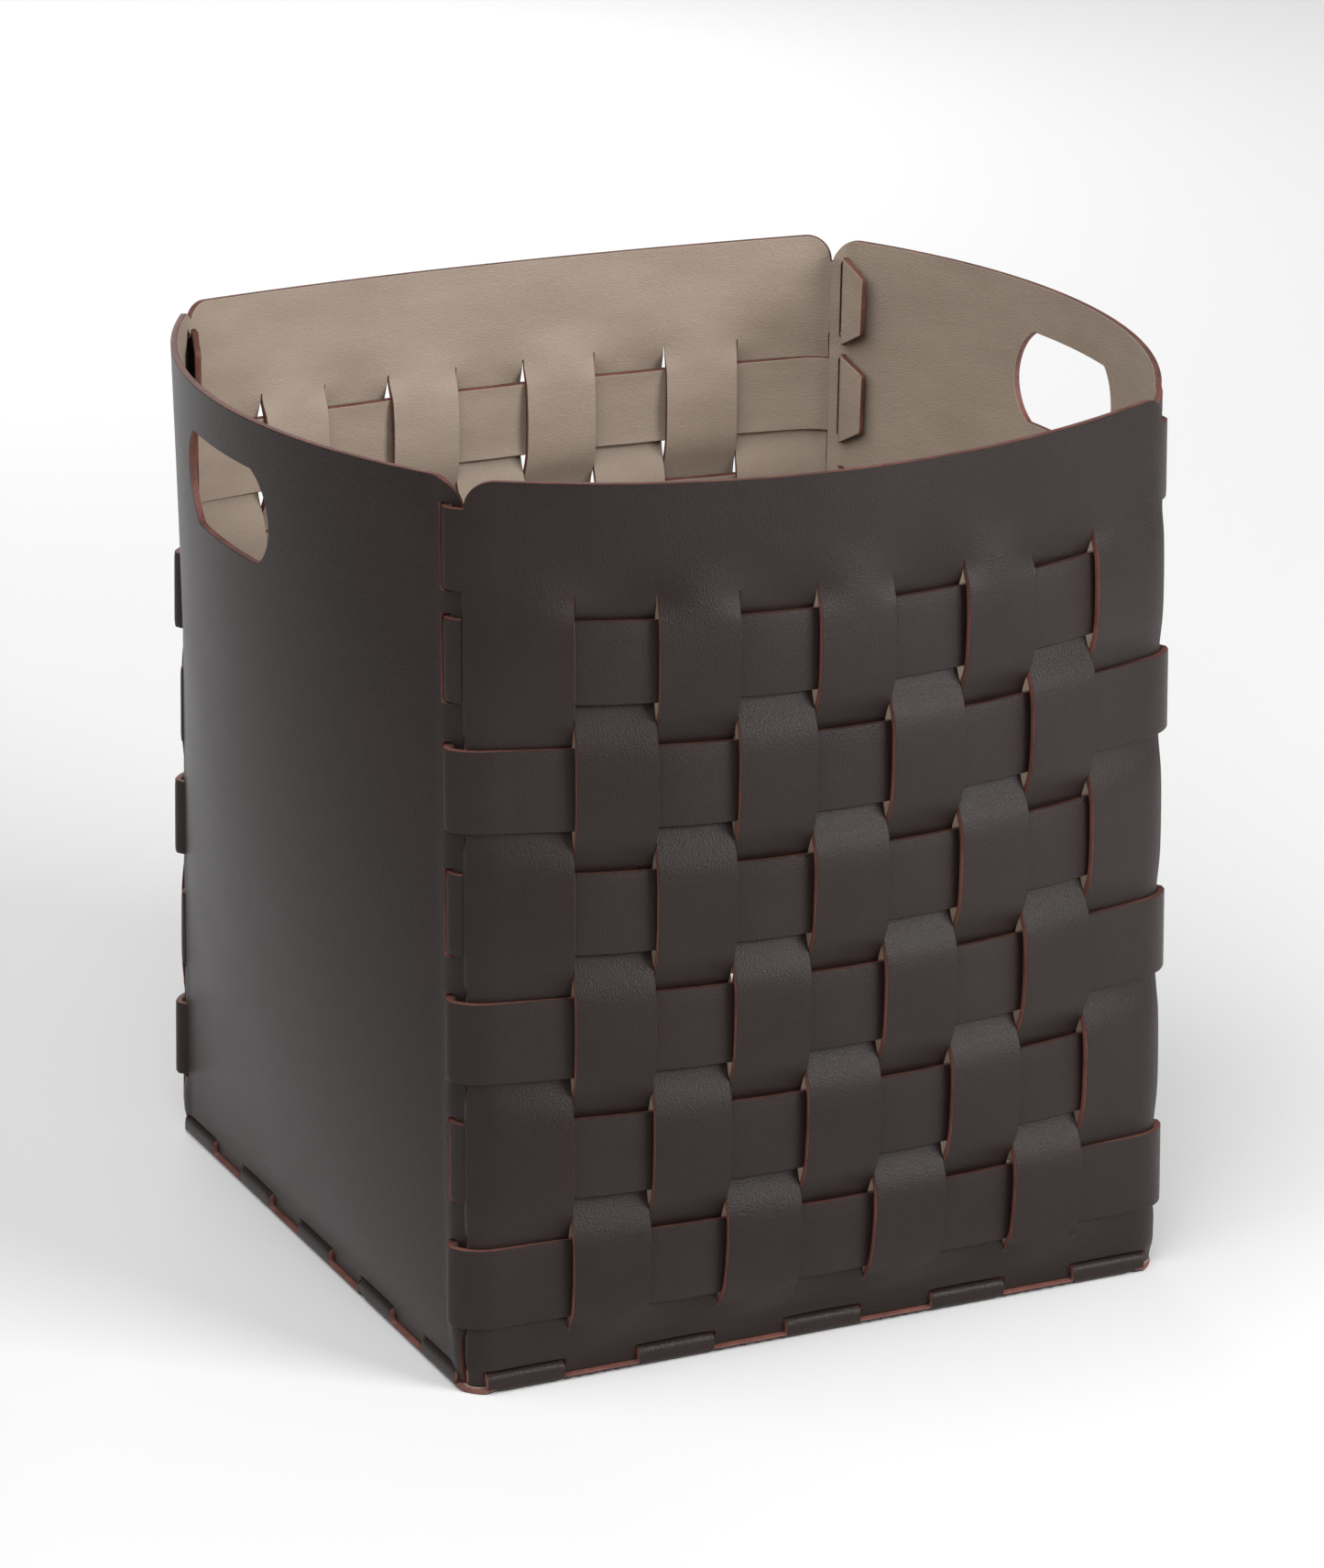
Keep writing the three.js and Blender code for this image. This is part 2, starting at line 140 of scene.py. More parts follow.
# The foot and the corners below the last strap
FOOT_PUSHED_IN = 1.4  # the tabs press the foot of the wall inwards
FOOT_PUSH_TOP = 14
FOOT_PUSH_FADE = 9
CORNER_GAP = 2.4  # the plain panel's edge draws back from the woven panel below the last strap
CORNER_CURL = 2.0  # and stands out
CORNER_GAP_WIDTH = 15
CORNER_GAP_TOP = 36
CORNER_GAP_FADE = 16
CORNER_CLOSING = 0.4  # share of the gap and curl that is lost again at the base
CORNER_CLOSING_HEIGHT = 8
CREASE_HEIGHT = 0.8  # the plain panel stands out along its slots, where the straps pull it round
CREASE_WIDTH = 4.0

# How finely the sheets are divided
OUTLINE_STEP = 2.6
HANDLE_STEP = 2.4
SLOT_STEP = 2.0
SMALL_ARC_STEP = 0.6
GRID_MARGIN = 1.2
GRID_CLEARANCE = 0.75  # grid points closer than this to an outline are left out
FOLD_SPACING = 0.9

QUARTER = FRONT_HALF + CORNER_ARC + SIDE_HALF
WOVEN_HALF = FRONT_HALF + CORNER_ARC / 2
SIDE_EDGE = WOVEN_HALF + PANEL_GAP
SLOT_MIDDLE = SIDE_EDGE + SLOT_MARGIN
STRIP_PITCH = (2 * WOVEN_HALF - 2 * EDGE_STRIP) / INNER_STRIPS
SLITS = [(k - INNER_STRIPS / 2) * STRIP_PITCH for k in range(INNER_STRIPS + 1)]
STRAP_MIDDLES = [
    top_of(f"front_strap_{n}") - STRAP_WIDTH / 2 - HEAD_FLARE for n in range(1, STRAP_COUNT + 1)
]
STRAP_PITCH = (STRAP_MIDDLES[0] - STRAP_MIDDLES[-1]) / (STRAP_COUNT - 1)
SLIT_TOP = STRAP_MIDDLES[0] + STRAP_WIDTH / 2 + SLIT_OVERRUN_TOP
SLIT_BOTTOM = STRAP_MIDDLES[-1] - STRAP_WIDTH / 2 - SLIT_OVERRUN_BOTTOM
TAB_MIDDLE = HEIGHT - WOVEN_CORNER_RADIUS - TOP_TAB_WIDTH / 2
FOOT_CORNER_RADIUS = CORNER_ARC / (math.pi / 2)
FOOT_HALF_X = FRONT_HALF + FOOT_CORNER_RADIUS - LAP
FOOT_HALF_Y = SIDE_HALF + FOOT_CORNER_RADIUS


# ---------------------------------------------------------------- the bent wall

def smooth(x):
    x = np.clip(x, 0, 1)
    return x * x * (3 - 2 * x)


def wall(along, z, out):
    """A place on the wall. along runs from the middle of the -Y side towards +X, and on round."""
    x = np.clip((z - FOOT_HEIGHT) / (HEIGHT - FOOT_HEIGHT), 0, None)
    k = FOOT_SOFTNESS
    rise = (np.sqrt(x * x + k * k) - k) / (math.sqrt(1 + k * k) - k)
    front = 1e-4 + FRONT_BEND * rise**FRONT_BEND_POWER
    side = 1e-4 + SIDE_BEND * rise**SIDE_BEND_POWER
    corner = math.pi / 2 - front - side
    front_radius, corner_radius, side_radius = FRONT_HALF / front, CORNER_ARC / corner, SIDE_HALF / side
    corner_x = front_radius * np.sin(front)
    corner_y = front_radius * (1 - np.cos(front))
    side_x = corner_x + corner_radius * (np.cos(side) - np.sin(front))
    side_y = corner_y + corner_radius * (np.cos(front) - np.sin(side))
    half_depth = side_y + side_radius * np.sin(side)

    past = np.abs(along) > QUARTER
    s = np.where(past, 2 * QUARTER - np.abs(along), np.abs(along))
    on_front = s <= FRONT_HALF
    on_corner = (s > FRONT_HALF) & (s <= FRONT_HALF + CORNER_ARC)
    heading = np.select(
        [on_front, on_corner],
        [s / front_radius, front + (s - FRONT_HALF) / corner_radius],
        math.pi / 2 - side + (s - FRONT_HALF - CORNER_ARC) / side_radius,
    )
    px = np.select(
        [on_front, on_corner],
        [
            front_radius * np.sin(heading),
            corner_x + corner_radius * (np.sin(heading) - np.sin(front)),
        ],
        side_x + side_radius * (np.sin(heading) - np.cos(side)),
    )
    py = np.select(
        [on_front, on_corner],
        [
            front_radius * (1 - np.cos(heading)),
            corner_y + corner_radius * (np.cos(front) - np.cos(heading)),
        ],
        side_y + side_radius * (np.sin(side) - np.cos(heading)),
    )
    dip = RIM_DIP * rise * np.clip(1 - (s / FRONT_HALF) ** 2, 0, None)
    sign_x = np.where(along < 0, -1.0, 1.0)
    sign_y = np.where(past, -1.0, 1.0)
    return np.stack(
        [
            sign_x * (px + out * np.sin(heading)),
            sign_y * (py - half_depth - out * np.cos(heading)),
            z - dip,
        ],
        axis=-1,
    )


def rounded_path(corners, radii, step=0.1):
    """A path through corners, each rounded by a radius, as lengths along it and its points."""
    corners = [np.array(c, float) for c in corners]
    points = [corners[0]]
    for before, here, after, radius in zip(corners, corners[1:], corners[2:], radii):
        arriving = (here - before) / np.linalg.norm(here - before)
        leaving = (after - here) / np.linalg.norm(after - here)
        turn = math.acos(np.clip(arriving @ leaving, -1, 1))
        reach = radius * math.tan(turn / 2)
        side = np.sign(arriving[0] * leaving[1] - arriving[1] * leaving[0])
        start = here - arriving * reach
        inward = np.array([-arriving[1], arriving[0]]) * side
        for a in np.linspace(0, turn, max(3, int(radius * turn / step))):
            points.append(start + radius * (math.sin(a) * arriving + (1 - math.cos(a)) * inward))
    points.append(corners[-1])
    points = np.array(points)
    lengths = np.concatenate([[0], np.cumsum(np.linalg.norm(np.diff(points, axis=0), axis=1))])
    return lengths, points


def follow(path, length):
    lengths, points = path
    return np.interp(length, lengths, points[:, 0]), np.interp(length, lengths, points[:, 1])


# The end of a strap beyond the woven panel's edge: over the margin, in through the slot, and the head
# inside, which leans off the panel.
SLOT_ENTRY = math.radians(75)
HOOK_BEND = 3.0
HOOK_BEND_BY_LEVEL = 0.4  # a strap that stands out further bends more gently
HOOK_EASING = 8  # length beyond the woven panel over which a strap goes flat
HEAD_DEPTH = 7.6
HEAD_REACH = 14.2
SHOULDER_CLEARANCE = 1.0
SHOULDER_DEPTH = LAP + HALF + SHOULDER_CLEARANCE
SHOULDER_SLANT = 0.9


def hook_path(lean, level=0.0):
    """The path from the woven panel's edge, where the leather is at a level, to the head's tip."""
    into = SLOT_MIDDLE - (LAP + level) / math.tan(SLOT_ENTRY)
    inside = SLOT_MIDDLE + (HEAD_DEPTH - LAP) / math.tan(SLOT_ENTRY)
    tip = (inside + HEAD_REACH * math.cos(lean), -HEAD_DEPTH - HEAD_REACH * math.sin(lean))
    corners = [(WOVEN_HALF, level), (into, level), (inside, -HEAD_DEPTH), tip]
    return rounded_path(corners, [HOOK_BEND + HOOK_BEND_BY_LEVEL * level, HOOK_BEND])


def shoulder_of(path):
    """How far along the path the head's shoulders are, just inside the slot."""
    lengths, points = path
    return lengths[np.argmax(points[:, 1] < -SHOULDER_DEPTH)]


def strip_of(s):
    """Each point's strip: its number, and its place across the strip from -1 to 1."""
    number = np.searchsorted(SLITS, s)
    edges = np.array([-WOVEN_HALF, *SLITS, WOVEN_HALF])
    middle = (edges[number] + edges[number + 1]) / 2
    half = (edges[number + 1] - edges[number]) / 2
    return number, np.clip((s - middle) / half, -1, 1)


def strip_bulge(s, z):
    """How far a woven strip stands out, over one strap and under the next."""
    number, across = strip_of(s)
    below_first = (STRAP_MIDDLES[0] - z) / STRAP_PITCH
    wave = np.tanh(BULGE_SQUARENESS * np.cos(math.pi * below_first)) / math.tanh(BULGE_SQUARENESS)
    above = np.clip((z - STRAP_MIDDLES[0]) / TOP_FADE, 0, 1)
    under = np.clip((STRAP_MIDDLES[-1] - z) / BOTTOM_FADE, 0, 1)
    last_sign = -1 if STRAP_COUNT % 2 == 0 else 1
    fading_up = np.cos(math.pi / 2 * above)
    fading_down = np.cos(math.pi / 2 * under)
    wave = np.where(z > STRAP_MIDDLES[0], fading_up**TOP_FADE_POWER, wave)
    wave = np.where(z < STRAP_MIDDLES[-1], last_sign * fading_down**BOTTOM_FADE_POWER, wave)
    free = smooth((SLIT_TOP - z) / SLIT_FREE_TOP) * smooth((z - SLIT_BOTTOM) / SLIT_FREE_BOTTOM)
    flat = np.cos(math.pi / 2 * across)
    sign = np.where(number % 2 == 0, 1, -1)
    height = sign * wave * (flat + (1 - flat) * free)
    outward = towards_edge(number, across)
    at_edge = (EDGE_BULGE - EDGE_BULGE_LOST * outward) * height
    lift = EDGE_LIFT * outward * (fading_up * fading_down)
    return np.where(is_edge(number), at_edge + lift, BULGE * height)


def is_edge(number):
    return (number == 0) | (number == len(SLITS))


def towards_edge(number, across):
    """From 0 at an edge strip's slit to 1 at the woven panel's edge."""
    return (1 + np.where(number == 0, -across, across)) / 2


def strap_wave(s, number):
    """How far a strap stands out, giving way to the strips that cross it."""
    strip, across = strip_of(s)
    sign = np.where((strip + number) % 2 == 1, -1, 1)
    wave = STRAP_WAVE * sign * np.cos(math.pi / 2 * across)
    at_edge = edge_level(number) * towards_edge(strip, across) ** EDGE_STRAP_POWER
    return np.where(is_edge(strip), at_edge, wave)


def edge_level(number):
    """How far a strap stands out where it leaves the woven panel, over or under the edge strip."""
    return EDGE_STRAP_LIFT if number % 2 == 0 else -EDGE_STRAP_SINK


def foot_push(z):
    """How far the base's tabs press the wall in at a height."""
    return FOOT_PUSHED_IN * smooth((FOOT_PUSH_TOP - z) / FOOT_PUSH_FADE)


def on_wall(flat, out, path):
    """Bends a woven panel or strap: plain wall up to the woven panel's edge, then the hooked end."""
    s, z = flat[:, 0], flat[:, 1]
    beyond = np.abs(s) - WOVEN_HALF
    hook_along, hook_out = follow(path, np.clip(beyond, 0, None))
    along = np.where(beyond > 0, np.sign(s) * hook_along, s)
    return wall(along, z, np.where(beyond > 0, hook_out, out))


# ---------------------------------------------------------------- cutting and bending a sheet

def arc(centre, radius, start, end, step=1.2):
    count = max(3, int(abs(end - start) * radius / step) + 1)
    angles = np.linspace(start, end, count)
    return [(centre[0] + radius * math.cos(a), centre[1] + radius * math.sin(a)) for a in angles]


def loop_of(points, step):
    """A closed outline with points no further apart than step."""
    points = [np.array(p, float) for p in points]
    result = []
    for here, after in zip(points, points[1:] + points[:1]):
        length = np.linalg.norm(after - here)
        if length < 1e-4:
            continue
        count = max(1, math.ceil(length / step))
        result += [here + (after - here) * i / count for i in range(count)]
    return np.array(result)


def inward_normals(loop):
    """Normals that point into the leather: the outline runs anticlockwise and the holes clockwise."""
    edge = np.roll(loop, -1, axis=0) - loop
    edge /= np.linalg.norm(edge, axis=1, keepdims=True)
    left = np.stack([-edge[:, 1], edge[:, 0]], axis=1)
    before = np.roll(left, 1, axis=0)
    mitre = left + before
    return mitre / np.clip(1 + np.sum(left * before, axis=1, keepdims=True), 0.5, None)


def inside(points, loops):
    """Even-odd test of points against closed loops."""
    result = np.zeros(len(points), bool)
    for loop in loops:
        a, b = loop, np.roll(loop, -1, axis=0)
        for start in range(0, len(points), 4000):
            part = points[start : start + 4000]
            x, y = part[:, :1], part[:, 1:]
            crosses = (a[:, 1] > y) != (b[:, 1] > y)
            with np.errstate(divide="ignore", invalid="ignore"):
                at = a[:, 0] + (y - a[:, 1]) * (b[:, 0] - a[:, 0]) / (b[:, 1] - a[:, 1])
            result[start : start + 4000] ^= (np.sum(crosses & (x < at), axis=1) % 2).astype(bool)
    return result


def distance_to(points, loops):
    """A bound on each point's distance to the loops, from the loops' own points."""
    best = np.full(len(points), np.inf)
    for loop in loops:
        for start in range(0, len(points), 2000):
            part = points[start : start + 2000]
            gap = part[:, None, :] - loop[None, :, :]
            best[start : start + 2000] = np.minimum(
                best[start : start + 2000], np.sqrt(np.min(np.sum(gap * gap, axis=2), axis=1))
            )
    return best


OUTER, LINING, EDGE = 0, 1, 2  # a sheet's material slots


def leather(name, loops, lines, place, materials, turned=False):
    """A sheet of leather cut along loops, with grid lines to bend along, and placed by a function."""
    cut = [ARRIS * inward_normals(loop) for loop in loops]
    skin_loops = [loop + inset for loop, inset in zip(loops, cut)]
    grid = np.stack(np.meshgrid(*lines, indexing="ij"), axis=-1).reshape(-1, 2)
    grid = grid[inside(grid, skin_loops)]
    grid = grid[distance_to(grid, skin_loops) > GRID_CLEARANCE]
    flat = np.concatenate([*skin_loops, grid])
    edges, first = [], 0
    for loop in skin_loops:
        count = len(loop)
        edges += [(first + i, first + (i + 1) % count) for i in range(count)]
        first += count
    rim_count = first
    vertices, _, faces, *_ = delaunay_2d_cdt([Vector(p) for p in flat], edges, [], 0, 1e-6, False)
    assert len(vertices) == len(flat), name
    faces = np.array([list(f) for f in faces])
    faces = faces[inside(flat[faces].mean(axis=1), skin_loops)]
    a, b, c = (flat[faces[:, k]] for k in range(3))
    clockwise = (b - a)[:, 0] * (c - a)[:, 1] - (b - a)[:, 1] * (c - a)[:, 0] < 0
    faces[clockwise] = faces[clockwise][:, ::-1]

    # Rings of points round the cut edge, from the outer face to the lining.
    rim_flat = np.concatenate(loops)
    rim_inset = np.concatenate(cut)
    bevel = 1 - math.sin(math.pi / 4)
    ring_shape = [
        (bevel, HALF - bevel * ARRIS),
        (0, HALF - ARRIS),
        (0, ARRIS - HALF),
        (bevel, bevel * ARRIS - HALF),
    ]
    blocks = [(flat, HALF), (flat, -HALF)]
    blocks += [(rim_flat + share * rim_inset, depth) for share, depth in ring_shape]
    flats = np.concatenate([block for block, _ in blocks])
    depth = np.concatenate([np.full(len(block), level) for block, level in blocks])
    total = len(flat)
    offsets = [0, *(2 * total + k * rim_count for k in range(len(ring_shape))), total]

    tiny = 0.12
    along = place(flats + [tiny, 0]) - place(flats - [tiny, 0])
    up = place(flats + [0, tiny]) - place(flats - [0, tiny])
    normal = np.cross(along, up)
    normal /= np.linalg.norm(normal, axis=1, keepdims=True)
    points = (place(flats) + depth[:, None] * normal) * MM
    if turned:
        points *= [-1, -1, 1]

    all_faces = [tuple(f) for f in faces] + [tuple(f[::-1] + total) for f in faces]
    slots = [OUTER] * len(faces) + [LINING] * len(faces)
    sharp = set()
    edge_array = np.array(edges)
    band_slots = [OUTER, EDGE, EDGE, EDGE, LINING]
    for band, slot in enumerate(band_slots):
        upper, lower = offsets[band], offsets[band + 1]
        for p, q in edge_array:
            all_faces.append((p + upper, p + lower, q + lower, q + upper))
            slots.append(slot)
    for p, q in edge_array:
        sharp.add((min(p, q), max(p, q)))
        sharp.add((min(p, q) + total, max(p, q) + total))

    mesh = bpy.data.meshes.new(name)
    mesh.from_pydata(points.tolist(), [], [tuple(int(i) for i in f) for f in all_faces])
    mesh.polygons.foreach_set("material_index", slots)
    mesh.polygons.foreach_set("use_smooth", [True] * len(all_faces))
    corner_vertex = np.zeros(len(mesh.loops), int)
    mesh.loops.foreach_get("vertex_index", corner_vertex)
    uv = mesh.uv_layers.new(name="cut")
    uv.data.foreach_set("uv", (flats[corner_vertex] * MM).ravel())
    ends = np.zeros(2 * len(mesh.edges), int)
    mesh.edges.foreach_get("vertices", ends)
    is_sharp = [(min(p, q), max(p, q)) in sharp for p, q in ends.reshape(-1, 2)]
    mesh.edges.foreach_set("use_edge_sharp", is_sharp)
    for material in materials:
        mesh.materials.append(material)
    mesh.validate()
    piece = bpy.data.objects.new(name, mesh)
    bpy.context.scene.collection.objects.link(piece)
    return piece


def lines_between(start, end, spacing):
    return np.linspace(start, end, max(2, int(round((end - start) / spacing)) + 1))


# ---------------------------------------------------------------- materials

def new_material(name):
    material = bpy.data.materials.new(name)
    material.use_nodes = True
    nodes = material.node_tree.nodes
    return material, nodes, material.node_tree.links, nodes["Principled BSDF"]


def add(nodes, kind, **values):
    """A node with its inputs set by name, and its properties by lower-case attribute."""
    node = nodes.new("ShaderNode" + kind)
    for key, value in values.items():
        if key.islower() and hasattr(node, key):
            setattr(node, key, value)
        else:
            node.inputs[key.replace("_", " ")].default_value = value
    return node


def ramp(nodes, stops):
    node = nodes.new("ShaderNodeValToRGB")
    elements = node.color_ramp.elements
    while len(elements) < len(stops):
        elements.new(0.5)
    for element, (position, colour) in zip(elements, stops):
        element.position = position
        element.color = (*colour, 1)
    return node


def leather_material(name, dark, light, roughness, grain, grain_depth, streak):
    """Grained leather: pebbles of about 1/grain mm, stretched along the sheet by streak."""
    material, nodes, links, shader = new_material(name)
    cut = add(nodes, "UVMap", uv_map="cut")
    scaled = add(nodes, "Mapping", Scale=(1 / MM, streak / MM, 1 / MM))
    links.new(cut.outputs["UV"], scaled.inputs["Vector"])
    warp = add(nodes, "TexNoise", Scale=0.6, Detail=2.0)
    links.new(scaled.outputs["Vector"], warp.inputs["Vector"])
    shifted = add(nodes, "VectorMath", operation="MULTIPLY_ADD")
    links.new(warp.outputs["Color"], shifted.inputs[0])
    shifted.inputs[1].default_value = (0.8, 0.8, 0)
    links.new(scaled.outputs["Vector"], shifted.inputs[2])
    pebbles = add(nodes, "TexVoronoi", feature="SMOOTH_F1", Scale=grain, Smoothness=0.6)
    links.new(shifted.outputs[0], pebbles.inputs["Vector"])
    fine = add(nodes, "TexNoise", Scale=3.2 * grain, Detail=3.0, Roughness=0.6)
    links.new(scaled.outputs["Vector"], fine.inputs["Vector"])
    height = add(nodes, "Mix", data_type="FLOAT", Factor=0.35)
    links.new(pebbles.outputs["Distance"], height.inputs["A"])
    links.new(fine.outputs["Fac"], height.inputs["B"])
    broad = add(nodes, "TexNoise", Scale=0.02, Detail=4.0, Roughness=0.55)
    links.new(scaled.outputs["Vector"], broad.inputs["Vector"])
    tone = add(nodes, "Mix", data_type="FLOAT", Factor=0.3)
    links.new(broad.outputs["Fac"], tone.inputs["A"])
    links.new(height.outputs["Result"], tone.inputs["B"])
    colour = ramp(nodes, [(0.3, dark), (0.7, light)])
    links.new(tone.outputs["Result"], colour.inputs["Fac"])
    links.new(colour.outputs["Color"], shader.inputs["Base Color"])
    matt = add(nodes, "MapRange", To_Min=roughness - 0.05, To_Max=roughness + 0.08)
    links.new(tone.outputs["Result"], matt.inputs["Value"])
    links.new(matt.outputs["Result"], shader.inputs["Roughness"])
    bump = add(nodes, "Bump", Strength=1.0, Distance=grain_depth * MM)
    links.new(height.outputs["Result"], bump.inputs["Height"])
    links.new(bump.outputs["Normal"], shader.inputs["Normal"])
    shader.inputs["Specular IOR Level"].default_value = 0.25
    return material


def edge_material(name, dark, light):
    """The cut edge: dyed fibres, a little uneven, lighter where the dye has worn."""
    material, nodes, links, shader = new_material(name)
    place = add(nodes, "TexCoord")
    fibres = add(nodes, "TexNoise", Scale=900.0, Detail=5.0, Roughness=0.7)
    patches = add(nodes, "TexNoise", Scale=60.0, Detail=3.0)
    links.new(place.outputs["Object"], fibres.inputs["Vector"])
    links.new(place.outputs["Object"], patches.inputs["Vector"])
    tone = add(nodes, "Mix", data_type="FLOAT", Factor=0.5)
    links.new(fibres.outputs["Fac"], tone.inputs["A"])
    links.new(patches.outputs["Fac"], tone.inputs["B"])
    colour = ramp(nodes, [(0.35, dark), (0.65, light)])
    links.new(tone.outputs["Result"], colour.inputs["Fac"])
    links.new(colour.outputs["Color"], shader.inputs["Base Color"])
    bump = add(nodes, "Bump", Strength=0.6, Distance=0.12 * MM)
    links.new(fibres.outputs["Fac"], bump.inputs["Height"])
    links.new(bump.outputs["Normal"], shader.inputs["Normal"])
    shader.inputs["Roughness"].default_value = 0.62
    return material


face = leather_material(
    "dark_face",
    dark=(0.0118, 0.0064, 0.0052),
    light=(0.0195, 0.0112, 0.0094),
    roughness=0.35,
    grain=1.5,
    grain_depth=0.24,
    streak=1.0,
)
# The same leather as dark_face, its colour painted about a seventh lighter: painted light that
# brightens the straps and the base's tabs.
face_painted_lighter = leather_material(
    "face_painted_lighter",
    dark=(0.0135, 0.0076, 0.0063),
    light=(0.0223, 0.0130, 0.0110),
    roughness=0.36,
    grain=1.5,
    grain_depth=0.24,
    streak=1.0,
)
lining = leather_material(
    "taupe_lining",
    dark=(0.36, 0.285, 0.225),
    light=(0.44, 0.355, 0.285),
    roughness=0.55,
    grain=0.7,
    grain_depth=0.22,
    streak=2.6,
)
cut_edge = edge_material("red_brown_edge", dark=(0.075, 0.025, 0.019), light=(0.21, 0.077, 0.058))


# ---------------------------------------------------------------- the pieces

def finish(piece, node):
    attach(piece, "root")
    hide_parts(node)


def head_outline(end, middle, half, path):
    """A strap or tab end with its arrow head, from its lower root to its upper root; end is 1 or -1."""
    shoulder = WOVEN_HALF + shoulder_of(path)
    lower = [
        (shoulder, middle - half),
        (shoulder + SHOULDER_SLANT, middle - half - HEAD_FLARE),
        (WOVEN_HALF + path[0][-1], middle - half + HEAD_TAPER),
    ]
    upper = [(s, 2 * middle - z) for s, z in reversed(lower)]
    points = lower + upper
    return points if end > 0 else [(-s, z) for s, z in reversed(points)]


def woven_outline(path):
    r = WOVEN_CORNER_RADIUS
    half = TOP_TAB_WIDTH / 2
    notch = (WOVEN_HALF + TOP_TAB_NOTCH, TAB_MIDDLE - half - TOP_TAB_NOTCH)
    right = [
        (WOVEN_HALF, WALL_FOOT),
        *arc(notch, TOP_TAB_NOTCH, math.pi, math.pi / 2, 0.5),
        *head_outline(1, TAB_MIDDLE, half, path),
        (WOVEN_HALF, TAB_MIDDLE + half),
        *arc((WOVEN_HALF - r, HEIGHT - r), r, 0, math.pi / 2),
    ]
    left = [(-s, z) for s, z in reversed(right)]
    return loop_of(right + left, OUTLINE_STEP)


def slit_outline(s):
    half = SLIT_OPENING / 2
    left, right = s - half, s + half
    points = [(left, SLIT_BOTTOM), (left, SLIT_TOP), (right, SLIT_TOP), (right, SLIT_BOTTOM)]
    return loop_of(points, OUTLINE_STEP)


def stadium(middle, width, height, radius):
    """A rounded slot, clockwise."""
    (x, y), r = middle, radius
    dx, dy = width / 2 - r, height / 2 - r
    points = [
        *arc((x - dx, y + dy), r, math.pi, math.pi / 2, SMALL_ARC_STEP),
        *arc((x + dx, y + dy), r, math.pi / 2, 0, SMALL_ARC_STEP),
        *arc((x + dx, y - dy), r, 0, -math.pi / 2, SMALL_ARC_STEP),
        *arc((x - dx, y - dy), r, -math.pi / 2, -math.pi, SMALL_ARC_STEP),
    ]
    return loop_of(points, SLOT_STEP)


def tab_places(half):
    """The middles of the base's tabs along a side that is half long each way."""
    last = half - BASE_TAB_INSET
    return [last * (2 * k / (BASE_TAB_COUNT - 1) - 1) for k in range(BASE_TAB_COUNT)]


def base_slots(middle, half):
    """The slots for the base's tabs in a wall sheet around its middle."""
    return [
        stadium((middle + s, BASE_TAB_LEVEL), *BASE_SLOT, BASE_SLOT_RADIUS) for s in tab_places(half)
    ]


def hook_lines(path_length):
    """Closely spaced lines where the hooked ends bend, to the right and to the left."""
    fine = lines_between(WOVEN_HALF, WOVEN_HALF + path_length, FOLD_SPACING)[1:]
    return [fine, -fine]


def woven_panel(name, node, turned):
    path = hook_path(math.radians(TOP_TAB_LEAN))
    strips = [-WOVEN_HALF, *SLITS, WOVEN_HALF]
    s_lines = np.concatenate(
        [lines_between(a + GRID_MARGIN, b - GRID_MARGIN, 3.4) for a, b in zip(strips, strips[1:])]
        + hook_lines(path[0][-1])
    )
    t_lines = lines_between(WALL_FOOT + GRID_MARGIN, HEIGHT - GRID_MARGIN, 2.8)
    loops = [woven_outline(path), *(slit_outline(s) for s in SLITS), *base_slots(0, FRONT_HALF)]

    def place(flat):
        return on_wall(flat, strip_bulge(flat[:, 0], flat[:, 1]) - foot_push(flat[:, 1]), path)

    piece = leather(name, loops, (s_lines, t_lines), place, (face, lining, cut_edge), turned)
    finish(piece, node)


def strap(name, node, number, turned, lean):
    path = hook_path(lean, edge_level(number))
    middle = STRAP_MIDDLES[number - 1]
    half = STRAP_WIDTH / 2
    ends = head_outline(1, middle, half, path) + head_outline(-1, middle, half, path)
    s_lines = np.concatenate(
        [lines_between(-WOVEN_HALF, WOVEN_HALF, 3.4), *hook_lines(path[0][-1])]
    )
    t_lines = lines_between(middle - half - HEAD_FLARE + 0.4, middle + half + HEAD_FLARE - 0.4, 3.6)

    def place(flat):
        s, z = flat[:, 0], flat[:, 1]
        hooked = smooth((np.abs(s) - WOVEN_HALF) / HOOK_EASING)
        height = np.clip((z - middle) / half, -1, 1)
        strip, across = strip_of(s)
        free = np.where(is_edge(strip), 1 - towards_edge(strip, across), 1) * (1 - hooked)
        crown = (STRAP_CROWN * height**4 + STRAP_TILT * half * height) * free
        return on_wall(flat, strap_wave(s, number) - crown, path)

    loop = loop_of(ends, OUTLINE_STEP)
    piece = leather(name, [loop], (s_lines, t_lines), place, (face_painted_lighter, lining, cut_edge), turned)
    finish(piece, node)


def handle_outline():
    x, y = HANDLE_STRAIGHT / 2, HANDLE_HEIGHT / 2
    sag = (HANDLE_WIDTH - HANDLE_STRAIGHT) / 2
    radius = (sag * sag + y * y) / (2 * sag)
    centre = HANDLE_WIDTH / 2 - radius
    sweep = math.atan2(y, x - centre)
    z = HEIGHT - HANDLE_BELOW_RIM - y
    points = [
        *arc((QUARTER + centre, z), radius, sweep, -sweep),
        *arc((QUARTER - centre, z), radius, math.pi + sweep, math.pi - sweep),
    ]
    return loop_of(points, HANDLE_STEP)


